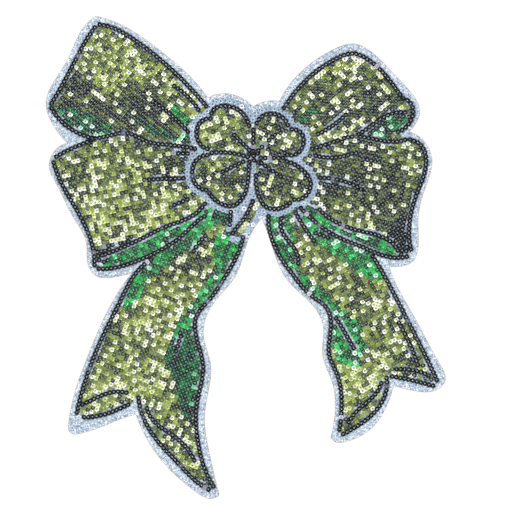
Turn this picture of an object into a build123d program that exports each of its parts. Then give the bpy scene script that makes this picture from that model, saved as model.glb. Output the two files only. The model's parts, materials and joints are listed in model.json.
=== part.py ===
from build123d import *
import math
import os

import numpy

os.makedirs("parts", exist_ok=True)

# A flat sequinned patch in the shape of a ribbon bow whose knot is a four-leaf clover.
# It lies face up: the back of its felt is the plane z = 0, +Z points out of the sequinned
# face and +Y points up the bow. Lengths are in millimetres, angles in degrees.

# ---------------------------------------------------------------- driving dimensions
overall_width = 246.0
overall_height = 297.0

felt_thickness = 0.9
cloth_thickness = 0.4

sequin_diameter = 3.0
sequin_hole = 1.1
sequin_thickness = 0.10
sequin_overlap = 0.5  # how far each sequin of a row lies over the one before it
sequin_clearance = 0.02  # air between sequins that lie on each other

thread_width = 0.30
thread_thickness = 0.20

row_gap = 0.08  # between a row's thread and the sequins of the filling beside it
pale_row_gap = 0.1  # between a leaf's black sequins and the pale ones round them
sharpest_turn = 50.0  # the most that a row may turn between two sequins that overlap
layers = 4  # the filling is on the first, rows start on the second and climb where they cross

# ---------------------------------------------------------------- dimensions that follow
sequin_pitch = sequin_diameter - sequin_overlap
sequin_step = sequin_thickness + sequin_clearance
pale_row_offset = sequin_diameter + pale_row_gap
row_clearance = sequin_diameter / 2 + thread_width / 2 + row_gap
cloth_top = felt_thickness + cloth_thickness

# In the filling each sequin leans along its lattice's diagonal, and clears both neighbours.
filling_lean = math.degrees(math.asin(sequin_step / (sequin_pitch * math.cos(math.radians(45)))))

# In a row each sequin leans along the row. Two of them overlap in a lens, and at the sharpest
# turn the near corner of that lens is where they come closest.
lens_half_height = math.sqrt((sequin_diameter / 2) ** 2 - (sequin_pitch / 2) ** 2)
half_turn = math.radians(sharpest_turn / 2)
row_run = sequin_pitch * math.cos(half_turn) - 2 * lens_half_height * math.sin(half_turn)
row_lean = math.degrees(math.atan(sequin_step / row_run))

sequin_rise = sequin_diameter * math.sin(math.radians(max(filling_lean, row_lean)))
layer_rise = max(sequin_rise, thread_thickness) + sequin_step
first_layer = cloth_top + sequin_clearance + sequin_rise / 2

# ---------------------------------------------------------------- cloth outline, as drawn
# Each stretch is one smooth edge of the cloth, and they meet at corners and notches.
cloth_stretches = [
    # upper left loop, its outer corner and its top edge
    [(-109.5, 70), (-119.5, 83.5), (-122.6, 93), (-110, 120), (-98.6, 142.5), (-92, 148.3)],
    [(-92, 148.3), (-70.8, 140), (-50, 125.2), (-35, 112.2), (-22.9, 97.9)],
    # the two upper leaves of the clover
    [(-22.9, 97.9), (-14.9, 100.6), (-6.5, 99.6), (4.7, 92.7)],
    [(4.7, 92.7), (10.8, 95.4), (20.8, 96)],
    # upper right loop
    [(20.8, 96), (28.5, 108), (41.9, 120.5), (54, 127.7), (66.2, 131.2), (79, 124.9),
     (91, 112.8), (103.2, 99.3), (107.2, 90), (105, 82.5), (100.8, 77.1)],
    # lower right loop
    [(100.8, 77.1), (109, 72), (114.4, 62), (109.6, 39.6), (106.1, 22), (106.2, 6),
     (102.5, -3.2), (96, -5.8), (88.4, -6.2)],
    # right tail, outer edge and its two points
    [(88.4, -6.2), (105.8, -40.4), (119.2, -65.4), (122.8, -76), (118, -81.5), (107, -83),
     (91, -79.4)],
    [(91, -79.4), (86, -93.5), (76.9, -106), (65.4, -112.6), (54.8, -113.6), (52.2, -111)],
    [(52.2, -111), (55, -94), (53.3, -77.5), (47.2, -60), (47.6, -42), (42, -30.8),
     (25, -13.5), (15.5, 8.8), (10.1, 23.6)],
    # left tail, from the crotch to the long point
    [(10.1, 23.6), (2.8, 12.7), (-5.8, -11.5), (-22, -32.5), (-25.7, -48), (-21.3, -65.5),
     (-24.8, -95), (-21.5, -123), (-15.9, -146.5)],
    [(-15.9, -146.5), (-20, -148.6), (-32, -143.4), (-50, -127), (-60, -113), (-67.3, -97)],
    # left tail, short point and outer edge
    [(-67.3, -97), (-83, -102.4), (-98, -107.8), (-107.5, -108.3), (-108.2, -98),
     (-97, -61), (-84.5, -32.5), (-70.5, -10.4)],
    # lower left loop
    [(-70.5, -10.4), (-82, -12.8), (-92, -11.6), (-96.7, -5), (-97.8, 8.8), (-105.8, 24.2),
     (-116, 44.5), (-120.7, 56), (-117.5, 65), (-109.5, 70)],
]

# ---------------------------------------------------------------- rows of black sequins
# Each row follows a smooth line through its points.
upper_left_top = [(-24, 92.6), (-36.4, 106.4), (-49.4, 118.8), (-66.2, 132), (-80, 140.2), (-89.5, 142.8)]
upper_left_side = [(-92.4, 141), (-98.7, 131.5), (-106.5, 116.6), (-114, 102.8), (-119, 94.5)]
upper_left_foot = [(-119, 91.5), (-112.6, 83), (-103, 76.3), (-94, 73)]
left_fold = [(-92, 72.8), (-80, 75.4), (-73, 76.2), (-61, 71.2), (-48, 69), (-31, 66.4)]

lower_left_top = [(-94.6, 71.4), (-107, 66.4), (-116, 61.6)]
lower_left_side = [(-117.6, 58), (-114.4, 48.6), (-104.2, 30), (-96, 13.5), (-93, 2), (-92.6, -5)]
lower_left_foot = [(-90, -7.2), (-80, -6.6), (-64, -1.4), (-50, 5.4), (-38.5, 13.4), (-30, 21.6), (-25, 25)]
left_band_top = [(-86, 1.6), (-76, 5.6), (-62, 12.2), (-49.4, 18.4), (-34, 24.4), (-25, 32.6)]

left_tail_side = [(-58, -1.6), (-66, -8.5), (-76.5, -26.5), (-89, -52), (-97.4, -73.5), (-103.4, -95.5)]
left_short_foot = [(-99, -98.4), (-90, -97.6), (-80, -94.4), (-72, -90.8)]
left_short_hem = [(-100, -90.6), (-92.5, -87), (-86, -84.2), (-73, -83.4)]
left_long_side = [(-65.6, -86.5), (-62.5, -99), (-54, -113), (-42, -126), (-30, -138), (-22.6, -142.8)]
left_long_hem = [(-60.4, -93), (-54, -103), (-44, -110), (-36, -117.5), (-31.4, -125)]
left_tail_inner = [(-1.6, 12), (-4.6, 2), (-11.6, -10.6), (-22, -26), (-30.6, -38), (-30.6, -47),
                   (-26, -67.5), (-29.8, -90), (-29.4, -112), (-25.4, -129), (-19.6, -141)]

upper_right_rim = [(23.6, 91.4), (31.5, 102.4), (43.9, 114.4), (56, 122), (66.2, 125), (75, 121.4),
                   (86, 111.4), (95, 99.6)]
upper_right_side = [(97, 97.4), (102.8, 91), (101, 83), (93.6, 77)]
right_fold = [(60.5, 73), (74, 73.4), (84, 71.4), (98, 72)]
lower_right_side = [(101, 72), (109, 66.8), (110.8, 57), (105.2, 39), (100.8, 22), (101.6, 4.6)]
lower_right_foot = [(99, 0.2), (88, 0), (72, 6), (56, 12.6), (44, 20.6), (34, 30)]
right_band_top = [(45.6, 29), (56, 21.2), (72, 15.6), (86, 11.4), (93.5, 4)]

right_tail_side = [(78, 0.4), (84.8, -10.8), (91, -22.4), (100, -40), (112, -64), (117.4, -75.6)]
right_short_foot = [(115, -79.2), (104, -76.2), (90, -73.4)]
right_short_hem = [(92.6, -69), (104, -69.8), (112.4, -72.8)]
right_side_hem = [(94.2, -40.4), (101, -54), (105.8, -66.4)]
right_long_side = [(86.6, -74.4), (85.6, -85), (78.6, -96), (69, -103.6), (60, -108.8)]
right_long_hem = [(83.4, -77.6), (79.6, -84.4), (71.4, -92), (63.4, -101.6)]
right_tail_inner = [(14.2, 25), (15.4, 13.6), (21.4, 0), (29.6, -11.6), (41, -24.2), (50, -31.6),
                    (52.4, -44), (51.4, -60), (56.6, -73), (59, -88), (57.6, -106)]

# Creases: short rows that lie inside the loops and tails.
upper_left_creases = [
    [(-55, 94.6), (-46, 87.6), (-35.4, 77)],
    [(-43.7, 105), (-36, 99), (-29, 90.6)],
]
lower_left_creases = [
    [(-44, 63.8), (-32.6, 63.4)],
    [(-43.6, 32), (-35.6, 35.4)],
    [(-59, 47.6), (-38, 48.4)],
]
upper_right_creases = [
    [(44.6, 75.6), (54.7, 81.6), (61.6, 87.4)],
    [(69.4, 75.4), (79, 82), (88, 87.4), (98, 88.8)],
]
lower_right_creases = [
    [(41, 66.4), (48.7, 69), (57, 71.6)],
    [(43, 62.2), (52, 61), (65.4, 63.6)],
    [(45.8, 48.6), (58, 47.2), (71, 41.6)],
]
left_tail_creases = [
    [(-24.6, 13), (-30, 6.6), (-31.8, 3.6)],
    [(-9, 27.6), (-9.6, 19.8)],
    [(-42.6, -58), (-39.6, -48.8)],
]
right_tail_creases = [
    [(22, 23.6), (23, 14.6), (29, 6.6), (32.4, -4)],
    [(30.8, 27), (36, 18.4), (42, 10)],
    [(43, 14.6), (50.6, 12)],
    [(55.6, -37.6), (61, -46.4), (66.4, -56)],
]

# ---------------------------------------------------------------- the clover
clover_middle = (5.0, 61.0)
clover_seams = [
    [(-20.6, 64), (-10, 64), (1.4, 61.4)],
    [(9.4, 60.8), (23, 60.8)],
    [(4.8, 65), (4.9, 78)],
]
clover_knot = [
    [(2.2, 63.4), (4.8, 62.2), (7.6, 63.6)],
    [(2.4, 58.4), (5.2, 59.4), (8, 58.2)],
]

clover_leaves = {
    "upper_left": {
        "sides": [
            [(2.2, 80.6), (-4.6, 90.4), (-11.6, 92.8), (-17.6, 91.8), (-20.8, 88.2)],
            [(-21.4, 85), (-28.4, 81.6), (-29.8, 74.4), (-23.4, 66.4)],
        ],
        "notch": (-21.2, 86.6),
        "vein": [(-6.8, 75), (2.4, 65.6)],
        "fill_angle": 20,
    },
    "upper_right": {
        "sides": [
            [(7, 82.2), (13, 87.6), (20.4, 87), (26, 81)],
            [(28.4, 78.4), (35.4, 73.6), (33.6, 65.4), (25.6, 62.8)],
        ],
        "notch": (27, 79.6),
        "vein": [(8, 65.4), (16.6, 73.8)],
        "fill_angle": 65,
    },
    "lower_left": {
        "sides": [
            [(-23.4, 62.6), (-31, 58), (-32.4, 49), (-24, 41)],
            [(-22, 39.2), (-15.4, 33), (-8, 31.4), (-1.4, 37), (1.4, 46), (2.2, 56)],
        ],
        "notch": (-23, 40.1),
        "vein": [(-1.4, 58.6), (-14, 52.4)],
        "fill_angle": 40,
    },
    "lower_right": {
        "sides": [
            [(25.4, 58.8), (34.6, 53.6), (40, 45), (37, 37.6), (30, 35.2)],
            [(27.2, 33.2), (20, 29.6), (13, 30.6), (8, 38), (6.6, 50)],
        ],
        "notch": (28.6, 34.6),
        "vein": [(9.8, 57.6), (21.6, 49.4)],
        "fill_angle": 75,
    },
}
stem_black = [(-7.8, 14.6), (-4.6, 19), (-0.6, 23.8), (2, 28.6), (4.4, 34)]
stem_lime = [(-4.6, 14), (-1.4, 18), (2.4, 22.8), (5, 28), (7.2, 32.4)]
stem_pale_rows = [
    [(-10.4, 17), (-7, 22), (-3.2, 26.6), (-0.8, 29.6)],
    [(-7.4, 11.4), (-2, 11.6), (2, 16), (5.6, 21.4), (8, 27.4)],
]

# ---------------------------------------------------------------- areas of other colours
# A filling sequin whose middle is in one of these areas belongs to that area's node.
corner_left = [(-94, 3), (-88, 6), (-78, 10), (-70, 13), (-66, 11), (-76, 4.6), (-87, -4), (-92, -9), (-95, -8)]
corner_right = [(93, 25), (101, 26), (103, -2), (95, 0), (93, 5), (86, 11)]
upper_left_greens = [
    [(-118, 92), (-103, 92), (-94, 88), (-80, 79.4), (-80, 74), (-95, 72), (-110, 80)],
    [(-75, 89.4), (-66, 87), (-58, 81.6), (-49, 77.6), (-33, 75), (-33, 70.4), (-50, 72.4), (-68, 81.6)],
    [(-48, 93), (-41, 93), (-30, 82), (-34, 78.4), (-46, 89)],
]
upper_right_greens = [
    [(70, 75.6), (81, 82), (92, 88), (100, 87.4), (100, 82), (92, 76), (80, 71)],
    [(29, 81), (41, 93.6), (46, 91), (35, 80.6)],
]
left_tail_greens = [
    [(-60, 3), (-25, 28), (-19, 22), (-24, 15), (-31, 8), (-40, 1), (-50, -6), (-58, -12), (-64, -20),
     (-70, -33), (-79, -30), (-66, -6)],
    [(-13, 17), (-18, 11), (-21, 4), (-18, -5), (-22, -12), (-30, -25), (-38, -35), (-48, -52),
     (-42, -48), (-32, -41), (-8, -8), (2, 14)],
]
left_shadow_green = [(-23, 31), (-8, 31), (-8, 18.6), (-19, 20), (-21, 25)]
left_fold_green = [(-38, -43), (-45, -50), (-50, -60), (-46, -72), (-42, -82), (-39, -99),
                   (-32, -104), (-26, -80), (-24, -66), (-28, -44)]
right_tail_greens = [
    [(33, 31), (43, 9.3), (50, 5), (60, -2), (68, -8), (80, -15), (88, -12), (78, 3), (56, 13)],
    [(12, 27), (28, 27), (30, 12), (32, -3), (36, -11), (47, -20), (60, -32), (69, -40), (74, -56),
     (69, -67), (59, -66), (53, -54), (50, -30), (20, -8)],
]

# ---------------------------------------------------------------- panels of filling
# A panel is a closed area that is filled with one straight lattice of sequins.
left_of_knot = [(-24, 66), (-10, 60), (-24, 32)]
right_of_knot = [(24, 60), (14, 70), (23, 91)]
panels = {
    "upper_left_loop": {
        "colour": "lime",
        "edge": upper_left_top + upper_left_side + upper_left_foot + left_fold + [(-16, 66), (-16, 90)],
        "angle": 52,
        "areas": {"green": upper_left_greens},
    },
    "lower_left_loop": {
        "colour": "lime",
        "edge": left_fold + left_of_knot + left_band_top[::-1] + lower_left_side[::-1] + lower_left_top[::-1],
        "angle": 12,
        "areas": {"corner_black": [corner_left]},
    },
    "left_band": {
        "colour": "green",
        "edge": left_band_top + [(-20, 28)] + lower_left_foot[::-1] + [(-92.6, -5)],
        "angle": 24,
        "areas": {"corner_black": [corner_left]},
    },
    "left_tail": {
        "colour": "lime",
        "edge": lower_left_foot[2:] + [(-20, 33), (-9, 30), (-8, 16)] + left_tail_inner
        + left_long_side[::-1] + left_short_foot[::-1] + left_tail_side[::-1],
        "angle": 68,
        "areas": {
            "green": left_tail_greens,
            "shadow_green": [left_shadow_green],
            "fold_green": [left_fold_green],
        },
    },
    "upper_right_loop": {
        "colour": "lime",
        "edge": upper_right_rim + upper_right_side + right_fold[::-1] + [(41, 66), (14, 72)],
        "angle": 40,
        "areas": {"green": upper_right_greens},
    },
    "lower_right_loop": {
        "colour": "lime",
        "edge": [(41, 66)] + right_fold + lower_right_side + [(93.5, 0)] + right_band_top[::-1]
        + [(40, 33), (24, 40), (24, 60)],
        "angle": 78,
        "areas": {"corner_black": [corner_right]},
    },
    "right_band": {
        "colour": "green",
        "edge": right_band_top + [(101, 2)] + lower_right_foot + [(20, 33), (40, 36)],
        "angle": 66,
        "areas": {"corner_black": [corner_right]},
    },
    "right_tail": {
        "colour": "lime",
        "edge": right_tail_inner + right_long_side[::-1] + right_short_foot[::-1] + right_tail_side[::-1]
        + lower_right_foot[2:] + [(20, 33)],
        "angle": 30,
        "areas": {"green": right_tail_greens},
    },
}


# ---------------------------------------------------------------- from drawn to real places
def smooth_edges(stretches):
    return [Spline(*stretch) for stretch in stretches]


drawn_box = make_face(Wire(smooth_edges(cloth_stretches))).bounding_box()
drawn_middle = drawn_box.center()
width_scale = overall_width / drawn_box.size.X
height_scale = overall_height / drawn_box.size.Y


def placed(points):
    """The real places of drawn points, with the origin in the middle of the cloth."""
    return [((x - drawn_middle.X) * width_scale, (y - drawn_middle.Y) * height_scale) for x, y in points]


def smooth_line(points):
    return Spline(*points) if len(points) > 2 else Line(*points)


def along(points, spacing):
    """Evenly spaced places along the smooth line through points, at least spacing apart."""
    line = smooth_line(points)
    steps = max(1, int(line.length / spacing))
    return [(p.X, p.Y) for p in line.positions([i / steps for i in range(steps + 1)])]


def inside(place, polygon):
    x, y = place
    crossings = 0
    for (x1, y1), (x2, y2) in zip(polygon, polygon[1:] + polygon[:1]):
        if (y1 > y) != (y2 > y) and x < x1 + (y - y1) * (x2 - x1) / (y2 - y1):
            crossings += 1
    return crossings % 2 == 1


def nearest(place, places):
    """Distance from a place to the nearest row of a numpy array of places."""
    return float(numpy.hypot(places[:, 0] - place[0], places[:, 1] - place[1]).min())


# ---------------------------------------------------------------- laying the sequins
row_lines = []  # the line of every row, which its thread follows
laid = []  # every sequin so far: place, direction it leans in, layer, row or panel, node
nodes = {}  # node name to its sequins


def clashes(place, direction, layer, group, order):
    """True if a sequin here would meet one that is already on that layer."""
    for other in laid:
        if other["layer"] != layer or math.dist(place, other["place"]) >= sequin_diameter + sequin_clearance:
            continue
        same_lattice = other["group"] == group and order is None
        next_in_row = other["group"] == group and order is not None and abs(other["order"] - order) == 1
        turn = abs((direction - other["direction"] + 180) % 360 - 180)
        if not same_lattice and not (next_in_row and turn <= sharpest_turn):
            return True
    return False


def lay(node, place, direction, layer, lean, group, order=None):
    sequin = {"place": place, "direction": direction, "layer": layer, "lean": lean,
              "group": group, "order": order}
    laid.append(sequin)
    nodes.setdefault(node, []).append(sequin)


def lay_places(node, places):
    """Lay a row through evenly spaced places. It climbs a layer where it crosses another row."""
    group = len(laid)
    for order, place in enumerate(places):
        before = places[max(order - 1, 0)]
        after = places[min(order + 1, len(places) - 1)]
        direction = math.degrees(math.atan2(after[1] - before[1], after[0] - before[0]))
        for layer in range(1, layers):
            if not clashes(place, direction, layer, group, order):
                lay(node, place, direction, layer, row_lean, group, order)
                break


def lay_row(node, points):
    row_lines.append(placed(points))
    lay_places(node, along(placed(points), sequin_pitch))


def pale_places(leaf_lines, others):
    """Places round the outside of a leaf, pale_row_offset from its black row."""
    chosen = []
    for line in leaf_lines:
        for here, after in zip(line, line[1:]):
            run = math.dist(here, after)
            normal = ((after[1] - here[1]) / run, (here[0] - after[0]) / run)
            sides = [(here[0] + side * pale_row_offset * normal[0], here[1] + side * pale_row_offset * normal[1])
                     for side in (1, -1)]
            place = max(sides, key=lambda side: math.dist(side, leaf_heart(leaf_lines)))
            clear_of_rows = nearest(place, others) > pale_row_offset - sequin_clearance
            clear_of_row = all(math.dist(place, other) >= sequin_pitch for other in chosen)
            if clear_of_rows and clear_of_row:
                chosen.append(place)
    return chosen


def leaf_heart(leaf_lines):
    places = [place for line in leaf_lines for place in line]
    return (sum(x for x, y in places) / len(places), sum(y for x, y in places) / len(places))


# Rows of the clover, then the rims, hems and creases of the bow.
line_step = 0.25  # spacing of the places that stand for a line when distances are taken
leaf_areas = {}
leaf_rows = {}
for leaf, shape in clover_leaves.items():
    sides = [placed(side) for side in shape["sides"]]
    leaf_rows[leaf] = [along(side, line_step) for side in sides]
    leaf_areas[leaf] = (
        along(sides[0], line_step) + placed([shape["notch"]]) + along(sides[1], line_step)
        + placed([clover_middle])
    )

for leaf, shape in clover_leaves.items():
    for side in shape["sides"]:
        lay_row(f"clover_{leaf}_outline", side)
    lay_row(f"clover_{leaf}_outline", shape["vein"])
for row in clover_seams:
    lay_row("clover_seams", row)
for row in clover_knot:
    lay_row("clover_knot", row)
lay_row("stem_black_row", stem_black)
lay_row("stem_lime_row", stem_lime)

clover_places = [place for rows in leaf_rows.values() for row in rows for place in row]
clover_places += along(placed(stem_black), line_step) + along(placed(stem_lime), line_step)
for leaf, rows in leaf_rows.items():
    lay_places(f"clover_{leaf}_pale_row", pale_places(rows, numpy.array(clover_places)))
for row in stem_pale_rows:
    lay_row("stem_pale_rows", row)

black_rows = {
    "upper_left_loop_rim": [upper_left_top, upper_left_side, upper_left_foot, left_fold],
    "lower_left_loop_rim": [lower_left_top, lower_left_side, lower_left_foot],
    "left_band_rim": [left_band_top],
    "upper_right_loop_rim": [upper_right_rim, upper_right_side, right_fold],
    "lower_right_loop_rim": [lower_right_side, lower_right_foot],
    "right_band_rim": [right_band_top],
    "left_tail_outer_rim": [left_tail_side],
    "left_tail_inner_rim": [left_tail_inner],
    "left_tail_point_rims": [left_short_foot, left_long_side],
    "left_tail_hems": [left_short_hem, left_long_hem],
    "right_tail_outer_rim": [right_tail_side],
    "right_tail_inner_rim": [right_tail_inner],
    "right_tail_point_rims": [right_short_foot, right_long_side],
    "right_tail_hems": [right_short_hem, right_side_hem, right_long_hem],
    "upper_left_loop_creases": upper_left_creases,
    "lower_left_loop_creases": lower_left_creases,
    "upper_right_loop_creases": upper_right_creases,
    "lower_right_loop_creases": lower_right_creases,
    "left_tail_creases": left_tail_creases,
    "right_tail_creases": right_tail_creases,
}
for node, rows in black_rows.items():
    for row in rows:
        lay_row(node, row)

row_places = [sequin["place"] for sequin in laid]
for line in row_lines:
    row_places += along(line, line_step)
row_places = numpy.array(row_places)


def fill(panel, colour, edge, angle, areas):
    """Fill a panel with one lattice of sequins, clear of every row."""
    group = len(laid)
    rad = math.radians(angle)
    along_row = (math.cos(rad) * sequin_pitch, math.sin(rad) * sequin_pitch)
    across_rows = (-along_row[1], along_row[0])
    reach = int(max(overall_width, overall_height) / sequin_pitch)
    middle = (sum(x for x, y in edge) / len(edge), sum(y for x, y in edge) / len(edge))
    for i in range(-reach, reach):
        for j in range(-reach, reach):
            place = (
                middle[0] + i * along_row[0] + j * across_rows[0],
                middle[1] + i * along_row[1] + j * across_rows[1],
            )
            if not inside(place, edge) or nearest(place, row_places) < row_clearance:
                continue
            if clashes(place, angle, 0, group, None):
                continue
            shown = colour
            for area_colour, polygons in areas.items():
                if any(inside(place, polygon) for polygon in polygons):
                    shown = area_colour
            lay(f"{panel}_{shown}", place, angle + 45, 0, filling_lean, group)


for leaf, shape in clover_leaves.items():
    fill(f"clover_{leaf}", "lime", leaf_areas[leaf], shape["fill_angle"], {})

for panel, layout in panels.items():
    edge = placed(layout["edge"])
    areas = {name: [placed(area) for area in drawn] for name, drawn in layout["areas"].items()}
    fill(panel, layout["colour"], edge, layout["angle"], areas)

# ---------------------------------------------------------------- solids
sequin_solid = extrude(Circle(sequin_diameter / 2) - Circle(sequin_hole / 2), sequin_thickness / 2, both=True)
sequin_solid = sequin_solid.solid()


def sequin_location(sequin):
    height = first_layer + sequin["layer"] * layer_rise + sequin_thickness / 2
    x, y = sequin["place"]
    return Pos(x, y, height) * Rot(Z=sequin["direction"]) * Rot(Y=sequin["lean"])


cloth_face = make_face(Wire(smooth_edges([placed(stretch) for stretch in cloth_stretches])))
export_step(extrude(cloth_face, felt_thickness), "parts/backing_felt.step")
export_step(Pos(0, 0, felt_thickness) * extrude(cloth_face, cloth_thickness), "parts/ground_cloth.step")

threads = Sketch() + [trace(smooth_line(line), thread_width) for line in row_lines]
export_step(Pos(0, 0, cloth_top) * extrude(threads, thread_thickness), "parts/row_threads.step")

for node, sequins in nodes.items():
    solids = [sequin_solid.moved(sequin_location(sequin)) for sequin in sequins]
    export_step(Compound(solids), f"parts/{node}.step")
    print(node, len(sequins))
print("sequins", len(laid), "nodes", len(nodes) + 3)
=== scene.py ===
import json
import math

import bpy
import numpy as np
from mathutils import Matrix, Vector
from mathutils.geometry import delaunay_2d_cdt
from mathutils.kdtree import KDTree


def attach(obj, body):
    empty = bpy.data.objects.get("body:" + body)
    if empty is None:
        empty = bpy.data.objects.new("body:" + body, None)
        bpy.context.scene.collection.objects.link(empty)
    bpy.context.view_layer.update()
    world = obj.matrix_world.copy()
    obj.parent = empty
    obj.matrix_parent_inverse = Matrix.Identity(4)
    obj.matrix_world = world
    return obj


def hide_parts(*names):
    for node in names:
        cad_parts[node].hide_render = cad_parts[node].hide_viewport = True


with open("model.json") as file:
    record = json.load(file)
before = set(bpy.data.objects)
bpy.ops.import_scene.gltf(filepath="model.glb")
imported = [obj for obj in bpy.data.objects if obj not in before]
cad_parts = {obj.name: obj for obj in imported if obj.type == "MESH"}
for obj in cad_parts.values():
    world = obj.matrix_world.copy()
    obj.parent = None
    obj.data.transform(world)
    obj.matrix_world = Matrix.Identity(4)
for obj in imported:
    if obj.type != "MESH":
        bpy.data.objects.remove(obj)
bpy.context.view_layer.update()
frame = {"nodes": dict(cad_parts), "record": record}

# Lengths are in metres. The patch lies face up on the plane z = 0, with +Y up the bow.
MM = 0.001

# ---------------------------------------------------------------- sizes and amounts
SEQUIN_RADIUS = 1.5 * MM
SEQUIN_HOLE_RADIUS = 0.55 * MM
SEQUIN_THICKNESS = 0.10 * MM
SEQUIN_SIDES = 20
DISH_DEPTH = 0.10 * MM  # how far the flat ring round the hole lies under the rim
FLAT_RING = 0.35 * MM  # width of that ring
RIM_ROUNDING = 0.12 * MM
RIM_DROP = 0.02 * MM  # from the rounding's inner edge to its outer one

PATCH_LENGTH = 38 * MM  # about how far apart the darker and paler patches of a panel are
PATCH_SHARE = 0.35  # of a sequin's tone that comes from its patch, the rest being its own
# Tones of the sequins that get a painted highlight, at the top of their ramps.
PAINTED_HIGHLIGHT_TONES = (0.86, 1.0)

WELD = 0.001 * MM  # points of a CAD mesh that are this near are one point
CLOTH_SHADE_REACH = 1.1 * SEQUIN_RADIUS  # cloth within this of a sequin's middle gets painted shade

CLOTH_GRID = 1.4 * MM  # spacing of the cloth's inner points
GRID_JITTER = 0.15  # of the spacing
EDGE_CLEARANCE = 0.7  # of the edge's step, from the inner points to the edge
EDGE_ROUNDING = 0.04 * MM
CLOTH_WAVE = 0.05 * MM
CLOTH_SETBACK = 0.35 * MM  # of the cloth's cut edge behind the felt's
CLOTH_FUZZ = 0.05 * MM
FELT_WAVE = 0.02 * MM
FELT_FUZZ = 0.12 * MM
EDGE_STEP = 0.8 * MM

FLAKES_PER_METRE = 1500
MIX_A, MIX_B, MIX_RESULT = 6, 7, 2  # the colour sockets of a Mix node

rng = np.random.default_rng(11)


# ---------------------------------------------------------------- node materials
class Nodes:
    """A short way to write a material's nodes."""

    def __init__(self, name):
        self.material = bpy.data.materials.new(name)
        self.material.use_nodes = True
        self.tree = self.material.node_tree
        self.shader = self.tree.nodes["Principled BSDF"]
        self.output = self.tree.nodes["Material Output"]

    def add(self, kind, **settings):
        node = self.tree.nodes.new("ShaderNode" + kind)
        for key, value in settings.items():
            setattr(node, key, value)
        return node

    def link(self, source, target):
        self.tree.links.new(source, target)

    def set(self, **sockets):
        for name, value in sockets.items():
            self.shader.inputs[name.replace("_", " ")].default_value = value

    def attribute(self, name):
        node = self.add("Attribute", attribute_name=name)
        return node.outputs["Fac"]

    def ramp(self, factor, stops, interpolation="LINEAR"):
        node = self.add("ValToRGB")
        node.color_ramp.interpolation = interpolation
        elements = node.color_ramp.elements
        while len(elements) < len(stops):
            elements.new(0.5)
        for element, (position, colour) in zip(elements, stops):
            element.position = position
            element.color = (*colour, 1)
        self.link(factor, node.inputs["Fac"])
        return node.outputs["Color"]

    def noise(self, scale, detail=2.0, roughness=0.5):
        node = self.add("TexNoise")
        node.inputs["Scale"].default_value = scale
        node.inputs["Detail"].default_value = detail
        node.inputs["Roughness"].default_value = roughness
        self.link(self.coordinates(), node.inputs["Vector"])
        return node.outputs["Fac"]

    def voronoi(self, scale, output="Color", feature="F1"):
        node = self.add("TexVoronoi", feature=feature)
        node.inputs["Scale"].default_value = scale
        self.link(self.coordinates(), node.inputs["Vector"])
        return node.outputs[output]

    def coordinates(self):
        return self.add("TexCoord").outputs["Object"]

    def bump(self, height, strength, distance):
        node = self.add("Bump")
        node.inputs["Strength"].default_value = strength
        node.inputs["Distance"].default_value = distance
        self.link(height, node.inputs["Height"])
        return node.outputs["Normal"]

    def mix(self, factor, a, b, blend="MIX"):
        node = self.add("Mix", data_type="RGBA", blend_type=blend)
        self.put(factor, node.inputs["Factor"])
        self.put(a, node.inputs[MIX_A])
        self.put(b, node.inputs[MIX_B])
        return node.outputs[MIX_RESULT]

    def put(self, value, socket):
        if isinstance(value, bpy.types.NodeSocket):
            self.link(value, socket)
        elif isinstance(value, tuple) and len(value) == 3:
            socket.default_value = (*value, 1)
        else:
            socket.default_value = value

    def maths(self, operation, a, b=0.0):
        node = self.add("Math", operation=operation)
        self.put(a, node.inputs[0])
        self.put(b, node.inputs[1])
        return node.outputs[0]


def srgb(code):
    """The linear colour of a six-digit sRGB code."""
    parts = [int(code[i:i + 2], 16) / 255 for i in (0, 2, 4)]
    return tuple(c / 12.92 if c <= 0.04045 else ((c + 0.055) / 1.055) ** 2.4 for c in parts)


def sequin_material(name, stops, metallic, roughness, specular):
    """Thin foil film. Each sequin has a tone, partly its own and partly painted light, and fine scuffs
    and rolling marks.
    """
    m = Nodes(name)
    tone = m.attribute("tone")
    colour = m.ramp(tone, stops)
    scuffs = m.noise(2600, detail=3)
    colour = m.mix(m.maths("MULTIPLY", scuffs, 0.22), colour, tuple(c * 0.4 for c in stops[1][1]))
    m.link(colour, m.shader.inputs["Base Color"])
    worn = m.maths("ADD", m.maths("MULTIPLY", scuffs, 0.16), roughness - 0.08)
    m.link(worn, m.shader.inputs["Roughness"])
    m.link(m.bump(scuffs, 0.25, 0.02 * MM), m.shader.inputs["Normal"])
    m.set(Metallic=metallic, Specular_IOR_Level=specular)
    return m.material


# Each ramp's spread from dark to pale is partly the foil's own varied tone and partly painted reflection
# of tilted sequins; its top, from about 0.86 up, is painted highlight: near-white on the coloured
# sequins, lilac-white glints on the black ones.
LIME = sequin_material(
    "lime_sequin_foil",
    [(0.0, srgb("0c1106")), (0.25, srgb("2a3312")), (0.5, srgb("67772a")), (0.72, srgb("9fb148")),
     (0.86, srgb("dfea9f")), (1.0, srgb("fffff0"))],
    metallic=0.22, roughness=0.24, specular=0.5,
)
GREEN = sequin_material(
    "green_sequin_foil",
    [(0.0, srgb("01140a")), (0.3, srgb("034519")), (0.55, srgb("06862c")), (0.75, srgb("20cf58")),
     (0.88, srgb("8cf5ae")), (1.0, srgb("f8fffa"))],
    metallic=0.22, roughness=0.24, specular=0.5,
)
DARK_GREEN = sequin_material(
    "dark_green_sequin_foil",
    [(0.0, srgb("010a05")), (0.3, srgb("022c13")), (0.6, srgb("087030")), (0.85, srgb("22b052")),
     (1.0, srgb("8fecab"))],
    metallic=0.25, roughness=0.26, specular=0.4,
)
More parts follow.
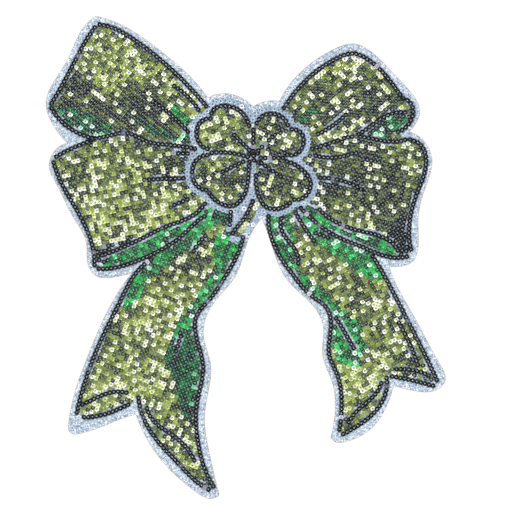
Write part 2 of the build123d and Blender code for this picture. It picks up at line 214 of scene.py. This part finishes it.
BLACK = sequin_material(
    "black_sequin_foil",
    [(0.0, srgb("020404")), (0.6, srgb("080d0c")), (0.85, srgb("1b2424")), (0.93, srgb("6d6e80")),
     (1.0, srgb("d9d6ea"))],
    metallic=0.05, roughness=0.28, specular=0.25,
)
PALE = sequin_material(
    "pale_sequin_foil",
    [(0.0, srgb("8ea2ba")), (0.5, srgb("a9bdd3")), (0.85, srgb("bccde0")), (1.0, srgb("e8f0fa"))],
    metallic=0.15, roughness=0.32, specular=0.4,
)


def glitter_cloth_material():
    """Pale blue-grey cloth under a dense layer of fine silver glitter, with painted shade where sequins
    cover it.
    """
    m = Nodes("glitter_cloth")
    flakes = m.voronoi(FLAKES_PER_METRE)
    split = m.add("SeparateColor")
    m.link(flakes, split.inputs["Color"])
    # The flakes run from blue-grey to white: the spread is the glitter's own, and the whitest flakes are
    # partly painted glint.
    base = m.ramp(split.outputs["Red"], [
        (0.0, srgb("62758a")), (0.2, srgb("8799ac")), (0.5, srgb("afbfd0")), (0.8, srgb("cbd7e4")),
        (1.0, srgb("ffffff")),
    ])
    drift = m.noise(22, detail=3)
    base = m.mix(m.maths("MULTIPLY", drift, 0.25), base, srgb("94a8bb"))
    # Painted shade: the cloth darkens towards 47535f where sequins lie over it, as seen through their
    # holes.
    base = m.mix(m.maths("MULTIPLY", m.attribute("cloth_painted_shade"), 0.65), base, srgb("47535f"))
    m.link(base, m.shader.inputs["Base Color"])
    roughness = m.maths("ADD", m.maths("MULTIPLY", split.outputs["Green"], 0.4), 0.25)
    m.link(roughness, m.shader.inputs["Roughness"])
    relief = m.voronoi(FLAKES_PER_METRE, "Distance")
    m.link(m.bump(relief, 0.6, 0.1 * MM), m.shader.inputs["Normal"])
    m.set(Metallic=0.25, Sheen_Weight=0.1)
    return m.material


def felt_material():
    """Needled felt."""
    m = Nodes("backing_felt")
    fibres = m.noise(1800, detail=6, roughness=0.7)
    clouds = m.noise(160, detail=3)
    colour = m.ramp(fibres, [(0.3, srgb("a08a72")), (0.55, srgb("c9b8a4")), (0.8, srgb("e4dacd"))])
    colour = m.mix(m.maths("MULTIPLY", clouds, 0.35), colour, srgb("b79f86"))
    m.link(colour, m.shader.inputs["Base Color"])
    m.link(m.bump(fibres, 0.8, 0.15 * MM), m.shader.inputs["Normal"])
    m.set(Roughness=0.95, Sheen_Weight=0.25)
    return m.material


def thread_material():
    """Pale polyester thread, with its twist."""
    m = Nodes("row_thread")
    wave = m.add("TexWave", wave_type="BANDS", bands_direction="DIAGONAL")
    wave.inputs["Scale"].default_value = 900
    wave.inputs["Distortion"].default_value = 1.5
    m.link(m.coordinates(), wave.inputs["Vector"])
    twist = wave.outputs["Fac"]
    colour = m.ramp(twist, [(0.1, srgb("8c9cb0")), (0.6, srgb("c2cfde")), (1.0, srgb("e4ecf5"))])
    m.link(colour, m.shader.inputs["Base Color"])
    m.link(m.bump(twist, 0.7, 0.06 * MM), m.shader.inputs["Normal"])
    m.set(Roughness=0.6, Sheen_Weight=0.2)
    return m.material


CLOTH = glitter_cloth_material()
FELT = felt_material()
THREAD = thread_material()


# ---------------------------------------------------------------- reading the frame
def cad_mesh(node):
    """Points and triangles of a CAD node."""
    mesh = frame["nodes"][node].data
    points = np.empty(len(mesh.vertices) * 3)
    mesh.vertices.foreach_get("co", points)
    corners = np.empty(len(mesh.loops), np.int64)
    mesh.loops.foreach_get("vertex_index", corners)
    return points.reshape(-1, 3), corners.reshape(-1, 3)


def welded(points, faces):
    """The same mesh, with points in the same place made one point."""
    places, which = np.unique(np.round(points / WELD), axis=0, return_inverse=True)
    return places * WELD, which.reshape(-1)[faces]


def node_solids(node):
    """Middle and normal of each separate solid in a CAD node's mesh."""
    places, faces = welded(*cad_mesh(node))
    # Points that share a face end up with the lowest label among them.
    label = np.arange(len(places))
    while True:
        lowest = label[faces].min(axis=1)
        updated = label.copy()
        for corner in range(3):
            np.minimum.at(updated, faces[:, corner], lowest)
        updated = updated[updated]
        if np.array_equal(updated, label):
            break
        label = updated
    solids, group = np.unique(label, return_inverse=True)
    group = group.reshape(-1)
    size = np.bincount(group)[:, None]
    middles = np.stack([np.bincount(group, places[:, axis]) for axis in range(3)], axis=1) / size
    spread = places - middles[group]
    normals = np.empty_like(middles)
    for index in range(len(solids)):
        own = spread[group == index]
        _, vectors = np.linalg.eigh(own.T @ own)
        normal = vectors[:, 0]
        normals[index] = normal if normal[2] > 0 else -normal
    return middles, normals


# ---------------------------------------------------------------- one sequin
def sequin_template():
    """Points and quads of one sequin: a flat ring round the hole, and a rim dished up from it."""
    rings = [
        (SEQUIN_HOLE_RADIUS, -DISH_DEPTH),
        (SEQUIN_HOLE_RADIUS + FLAT_RING, -DISH_DEPTH),
        (SEQUIN_RADIUS - RIM_ROUNDING, 0.0),
        (SEQUIN_RADIUS, -RIM_DROP),
        (SEQUIN_RADIUS, -SEQUIN_THICKNESS),
        (SEQUIN_HOLE_RADIUS, -DISH_DEPTH - SEQUIN_THICKNESS),
    ]
    angles = np.arange(SEQUIN_SIDES) * 2 * math.pi / SEQUIN_SIDES
    points = [
        (radius * math.cos(a), radius * math.sin(a), height + SEQUIN_THICKNESS / 2)
        for radius, height in rings
        for a in angles
    ]
    quads = []
    for ring in range(len(rings)):
        following = (ring + 1) % len(rings)
        for side in range(SEQUIN_SIDES):
            step = (side + 1) % SEQUIN_SIDES
            quads.append((ring * SEQUIN_SIDES + side, following * SEQUIN_SIDES + side,
                          following * SEQUIN_SIDES + step, ring * SEQUIN_SIDES + step))
    quads = np.array(quads)[:, ::-1]
    return np.array(points), quads


TEMPLATE_POINTS, TEMPLATE_QUADS = sequin_template()


def frames_from(normals):
    """Three axes for each normal, the last of them the normal itself."""
    helper = np.tile([0.0, 1.0, 0.0], (len(normals), 1))
    across = np.cross(helper, normals)
    across /= np.linalg.norm(across, axis=1)[:, None]
    up = np.cross(normals, across)
    return np.stack([across, up, normals], axis=2)


def mesh_object(name, points, faces):
    mesh = bpy.data.meshes.new(name)
    mesh.from_pydata(points, [], faces)
    mesh.update()
    thing = bpy.data.objects.new(name, mesh)
    bpy.context.scene.collection.objects.link(thing)
    return thing


def patchiness(middles):
    """A smooth wander from 0 to 1 over the patch, from a few waves in different directions."""
    waves = 6
    first_angle, turn = 0.7, 2.4
    shortest, growth = 0.55 * PATCH_LENGTH, 0.25 * PATCH_LENGTH
    shift = 1.7
    total = np.zeros(len(middles))
    for wave in range(waves):
        angle = first_angle + turn * wave
        along = middles[:, 0] * math.cos(angle) + middles[:, 1] * math.sin(angle)
        total += np.sin(2 * math.pi * along / (shortest + growth * wave) + shift * wave)
    return 0.5 + total / (2 * waves)


def painted_shade_at(middles):
    """How much painted shade makes each place darker than the rest of its region."""
    total = np.zeros(len(middles))
    for x, y, reach, depth in PAINTED_SHADE_PLACES:
        away = np.hypot(middles[:, 0] / MM - x, middles[:, 1] / MM - y)
        total += depth * np.exp(-0.5 * (away / reach) ** 2)
    return total


sequin_middles = []


def sequin_piece(node, material, lean, low, high, painted_highlight_share):
    """Every sequin of a node, each with a lean and a tone, partly its own and partly painted shade and
    painted highlight.

    Tones run from low to high, darker and paler by patches and darker by painted shade, and a share are
    painted highlights at the top.
    """
    middles, normals = node_solids(node)
    sequin_middles.extend(middles)
    count = len(middles)
    tilt = rng.normal(0, math.radians(lean), (count, 2))
    normals = normals + np.stack([tilt[:, 0], tilt[:, 1], np.zeros(count)], axis=1)
    normals /= np.linalg.norm(normals, axis=1)[:, None]
    axes = frames_from(normals)
    points = middles[:, None, :] + np.einsum("nij,pj->npi", axes, TEMPLATE_POINTS)
    quads = TEMPLATE_QUADS[None] + (np.arange(count) * len(TEMPLATE_POINTS))[:, None, None]
    piece = mesh_object(node + "_sequins", points.reshape(-1, 3).tolist(), quads.reshape(-1, 4).tolist())
    # Painted shade lowers the tones in the listed places.
    painted_shade_depth = painted_shade_at(middles)
    own = PATCH_SHARE * patchiness(middles) + (1 - PATCH_SHARE) * rng.random(count) - painted_shade_depth
    tone = low + (high - low) * np.clip(own, 0, 1)
    # A share of sequins get a painted highlight, fewer where painted shade lies.
    painted_highlights = rng.random(count) < painted_highlight_share * (1 - painted_shade_depth)
    tone = np.where(painted_highlights, rng.uniform(*PAINTED_HIGHLIGHT_TONES, count), tone)
    layer = piece.data.attributes.new("tone", "FLOAT", "POINT")
    layer.data.foreach_set("value", np.repeat(tone, len(TEMPLATE_POINTS)).astype(np.float32))
    piece.data.polygons.foreach_set("use_smooth", np.zeros(len(piece.data.polygons), bool))
    piece.data.materials.append(material)
    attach(piece, "root")
    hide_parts(node)
    return piece


# Painted shade on the sequins, where they are darker: x and y of the middle and the reach, in
# millimetres, and how much.
PAINTED_SHADE_PLACES = [
    (-108, 106, 9, 0.35),
    (-94, 84, 12, 0.30),
    (-62, 92, 11, 0.35),
    (-44, 62, 12, 0.25),
    (-95, 72, 14, 0.10),
    (45, 98, 14, 0.30),
    (86, 92, 14, 0.30),
    (70, 62, 16, 0.30),
    (88, 32, 14, 0.30),
    (52, 42, 10, 0.30),
    (-14, 50, 10, 0.20),
    (16, 80, 12, 0.25),
    (20, 48, 12, 0.30),
    (-36, -2, 8, 0.25),
    (66, -28, 10, 0.20),
]

# What each material slot's sequins look like: material, extra lean, tones and share given a painted
# highlight.
SEQUIN_LOOKS = {
    "lime_sequin": (LIME, 3.0, 0.0, 0.97, 0.19),
    "green_sequin": (GREEN, 3.0, 0.0, 0.93, 0.10),
    "dark_green_sequin": (DARK_GREEN, 3.0, 0.0, 0.75, 0.04),
    "black_sequin": (BLACK, 2.5, 0.0, 0.85, 0.05),
    "pale_sequin": (PALE, 2.5, 0.1, 0.8, 0.05),
}

slots = {row["node"]: row["material_slot"] for row in frame["record"]["subparts"]}
for node in sorted(frame["nodes"]):
    if slots[node] in SEQUIN_LOOKS:
        piece = sequin_piece(node, *SEQUIN_LOOKS[slots[node]])


# ---------------------------------------------------------------- cloth and felt
def outline(node):
    """The outer edge of a flat CAD node as points in order, and its lowest and highest z."""
    points, faces = welded(*cad_mesh(node))
    low, high = points[:, 2].min(), points[:, 2].max()
    top = faces[(np.abs(points[:, 2] - high) < 2 * WELD)[faces].all(axis=1)].tolist()
    edges = {(a, b) for three in top for a, b in zip(three, three[1:] + three[:1])}
    # An inner edge is met once each way, so an edge without its twin is an outer one.
    following = {a: b for a, b in edges if (b, a) not in edges}
    path = [min(following)]
    while following[path[-1]] != path[0] and len(path) <= len(following):
        path.append(following[path[-1]])
    return points[path, :2], low, high


def resample(path, step):
    """The same closed outline with evenly spaced points."""
    closed = np.vstack([path, path[:1]])
    runs = np.hypot(*np.diff(closed, axis=0).T)
    travelled = np.concatenate([[0], np.cumsum(runs)])
    count = int(travelled[-1] / step)
    wanted = np.arange(count) * travelled[-1] / count
    return np.stack([np.interp(wanted, travelled, closed[:, axis]) for axis in (0, 1)], axis=1)


def inside(points, polygon):
    """Which of the points lie inside the closed polygon."""
    found = np.zeros(len(points), bool)
    for (x1, y1), (x2, y2) in zip(polygon, np.roll(polygon, -1, axis=0)):
        if y1 == y2:
            continue
        spans = (y1 > points[:, 1]) != (y2 > points[:, 1])
        found ^= spans & (points[:, 0] < x1 + (points[:, 1] - y1) * (x2 - x1) / (y2 - y1))
    return found


def far_from(points, path, distance):
    """Which of the points are further than that from every point of the path."""
    keep = np.ones(len(points), bool)
    for place in path:
        keep &= np.hypot(points[:, 0] - place[0], points[:, 1] - place[1]) > distance
    return keep


def edge_normals(edge):
    """The outward direction at each point of an outline, for either way round."""
    run = np.roll(edge, -1, axis=0) - np.roll(edge, 1, axis=0)
    run /= np.hypot(run[:, 0], run[:, 1])[:, None]
    normals = np.column_stack([run[:, 1], -run[:, 0]])
    xs, ys = edge[:, 0], edge[:, 1]
    if np.sum(xs * np.roll(ys, -1) - ys * np.roll(xs, -1)) < 0:
        normals = -normals
    return normals


def inner_points(edge):
    """A jittered grid, staggered row by row, inside an outline and clear of it."""
    corner, far = edge.min(axis=0), edge.max(axis=0)
    columns = np.arange(corner[0], far[0], CLOTH_GRID)
    rows = np.arange(corner[1], far[1], CLOTH_GRID)
    grid = np.stack(np.meshgrid(columns, rows), axis=2).reshape(-1, 2)
    grid[:, 0] += (np.round((grid[:, 1] - corner[1]) / CLOTH_GRID) % 2) * CLOTH_GRID / 2
    grid += rng.uniform(-GRID_JITTER, GRID_JITTER, grid.shape) * CLOTH_GRID
    grid = grid[inside(grid, edge)]
    return grid[far_from(grid, edge, EDGE_CLEARANCE * EDGE_STEP)]


def ripple(flat):
    """A gentle unevenness from 0 to 1, a few millimetres from crest to crest."""
    x, y = flat[:, 0], flat[:, 1]
    across = np.sin(700 * x + 2 * np.sin(190 * y))
    along = np.sin(820 * y + 2 * np.sin(230 * x))
    return 0.5 + 0.25 * across + 0.25 * along


def cut_sheet(name, node, material, top_wave, fuzz, setback):
    """A sheet cut to a CAD node's outline, or that far inside it.

    Its top sinks by up to top_wave, and its wall is rough by fuzz.
    """
    edge, low, high = outline(node)
    edge = resample(edge, EDGE_STEP)
    edge -= setback * edge_normals(edge)
    rim = len(edge)
    sides = [(i, (i + 1) % rim) for i in range(rim)]
    drawn = [Vector(p) for p in np.vstack([edge, inner_points(edge)])]
    flat, _, triangles, *_ = delaunay_2d_cdt(drawn, sides, [], 1, 1e-7)
    flat = np.array([tuple(p) for p in flat])
    count = len(flat)

    top = np.column_stack([flat, high - top_wave * ripple(flat)])
    top[:rim, 2] = high - top_wave - EDGE_ROUNDING
    back = np.column_stack([flat, np.full(count, low)])
    middle = np.column_stack([edge, np.full(rim, (low + high) / 2)])
    middle[:, :2] -= rng.uniform(0, fuzz, (rim, 1)) * edge_normals(edge)

    faces = [tuple(t) for t in triangles]
    faces += [tuple(count + i for i in reversed(t)) for t in triangles]
    for i, j in sides:
        faces.append((j, i, 2 * count + i, 2 * count + j))
        faces.append((2 * count + j, 2 * count + i, count + i, count + j))

    sheet = mesh_object(name, np.vstack([top, back, middle]).tolist(), faces)
    sheet.data.materials.append(material)
    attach(sheet, "root")
    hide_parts(node)
    return sheet


def mark_cloth_painted_shade(sheet):
    """Give each point of a sheet its painted shade: 1 under the sequins and 0 out on the bare edge."""
    tree = KDTree(len(sequin_middles))
    for index, middle in enumerate(sequin_middles):
        tree.insert((middle[0], middle[1], 0), index)
    tree.balance()
    values = []
    for vertex in sheet.data.vertices:
        _, _, away = tree.find((vertex.co.x, vertex.co.y, 0))
        values.append(1.0 if away < CLOTH_SHADE_REACH else 0.0)
    layer = sheet.data.attributes.new("cloth_painted_shade", "FLOAT", "POINT")
    layer.data.foreach_set("value", values)


cloth = cut_sheet(
    "glitter_cloth_sheet", "ground_cloth", CLOTH, CLOTH_WAVE, CLOTH_FUZZ, CLOTH_SETBACK)
cut_sheet("backing_felt_sheet", "backing_felt", FELT, FELT_WAVE, FELT_FUZZ, setback=0.0)
mark_cloth_painted_shade(cloth)

# The row threads keep their CAD shape, and take the thread's look.
threads = frame["nodes"]["row_threads"].data
threads.materials.clear()
threads.materials.append(THREAD)


# ---------------------------------------------------------------- floor, lights and camera
FLOOR_SIZE = 6.0
FRAME_WIDTH = 313.7 * MM  # how much of the patch's plane the camera's frame takes in
CAMERA_HEIGHT = 1.6
CAMERA_AIM = (5.7 * MM, 1.4 * MM)
SENSOR = 36.0
LAMP_POWER = 10.4
LAMP_SIZE = 0.42
LAMP_DISTANCE = 1.6
LAMPS = {  # azimuth and angle from the zenith, in degrees
    "soft_box_upper_left": (130, 38),
    "soft_box_upper_right": (40, 41),
    "soft_box_lower_left": (220, 41),
    "soft_box_lower_right": (310, 38),
}
SKY_STRENGTH = 0.16
FLOOR_GLOW = 0.95  # of the floor's look that is plain white where the camera sees it
FLOOR_DROP = 0.05 * MM  # below the patch

bpy.ops.mesh.primitive_plane_add(size=FLOOR_SIZE, location=(0, 0, -FLOOR_DROP))
floor = bpy.context.object
floor.name = "floor"


def floor_material():
    m = Nodes("white_floor")
    m.set(Base_Color=(0.92, 0.92, 0.92, 1), Roughness=0.9)
    light_path = m.add("LightPath")
    glow = m.add("Emission")
    glow.inputs["Color"].default_value = (1, 1, 1, 1)
    blend = m.add("MixShader")
    seen = m.maths("MAXIMUM", light_path.outputs["Is Camera Ray"], light_path.outputs["Is Glossy Ray"])
    seen = m.maths("MAXIMUM", seen, light_path.outputs["Is Transmission Ray"])
    m.link(m.maths("MULTIPLY", seen, FLOOR_GLOW), blend.inputs["Fac"])
    m.link(m.shader.outputs["BSDF"], blend.inputs[1])
    m.link(glow.outputs["Emission"], blend.inputs[2])
    m.link(blend.outputs["Shader"], m.output.inputs["Surface"])
    return m.material


floor.data.materials.append(floor_material())

world = bpy.data.worlds.new("studio")
bpy.context.scene.world = world
world.use_nodes = True
sky = world.node_tree
sky.nodes["Background"].inputs["Color"].default_value = (1, 1, 1, 1)
# The sky lights the patch weakly, and looks white behind it.
looked_at = sky.nodes.new("ShaderNodeLightPath").outputs["Is Camera Ray"]
strength = sky.nodes.new("ShaderNodeMath")
strength.operation = "MULTIPLY_ADD"
strength.inputs[1].default_value = 1 - SKY_STRENGTH
strength.inputs[2].default_value = SKY_STRENGTH
sky.links.new(looked_at, strength.inputs[0])
sky.links.new(strength.outputs[0], sky.nodes["Background"].inputs["Strength"])


def soft_box(name, azimuth, from_zenith):
    """A square lamp that faces the patch from a direction."""
    lamp = bpy.data.lights.new(name, "AREA")
    lamp.shape = "SQUARE"
    lamp.size = LAMP_SIZE
    lamp.energy = LAMP_POWER
    thing = bpy.data.objects.new(name, lamp)
    bpy.context.scene.collection.objects.link(thing)
    turn, drop = math.radians(azimuth), math.radians(from_zenith)
    place = Vector((math.sin(drop) * math.cos(turn), math.sin(drop) * math.sin(turn), math.cos(drop)))
    thing.location = place * LAMP_DISTANCE
    thing.rotation_euler = place.to_track_quat("Z", "Y").to_euler()


for lamp_name, (azimuth, from_zenith) in LAMPS.items():
    soft_box(lamp_name, azimuth, from_zenith)

camera_data = bpy.data.cameras.new("camera")
camera_data.sensor_width = SENSOR
camera_data.lens = SENSOR * CAMERA_HEIGHT / FRAME_WIDTH
camera = bpy.data.objects.new("camera", camera_data)
bpy.context.scene.collection.objects.link(camera)
camera.location = (*CAMERA_AIM, CAMERA_HEIGHT)
bpy.context.scene.camera = camera
bpy.context.scene.view_settings.view_transform = "Standard"
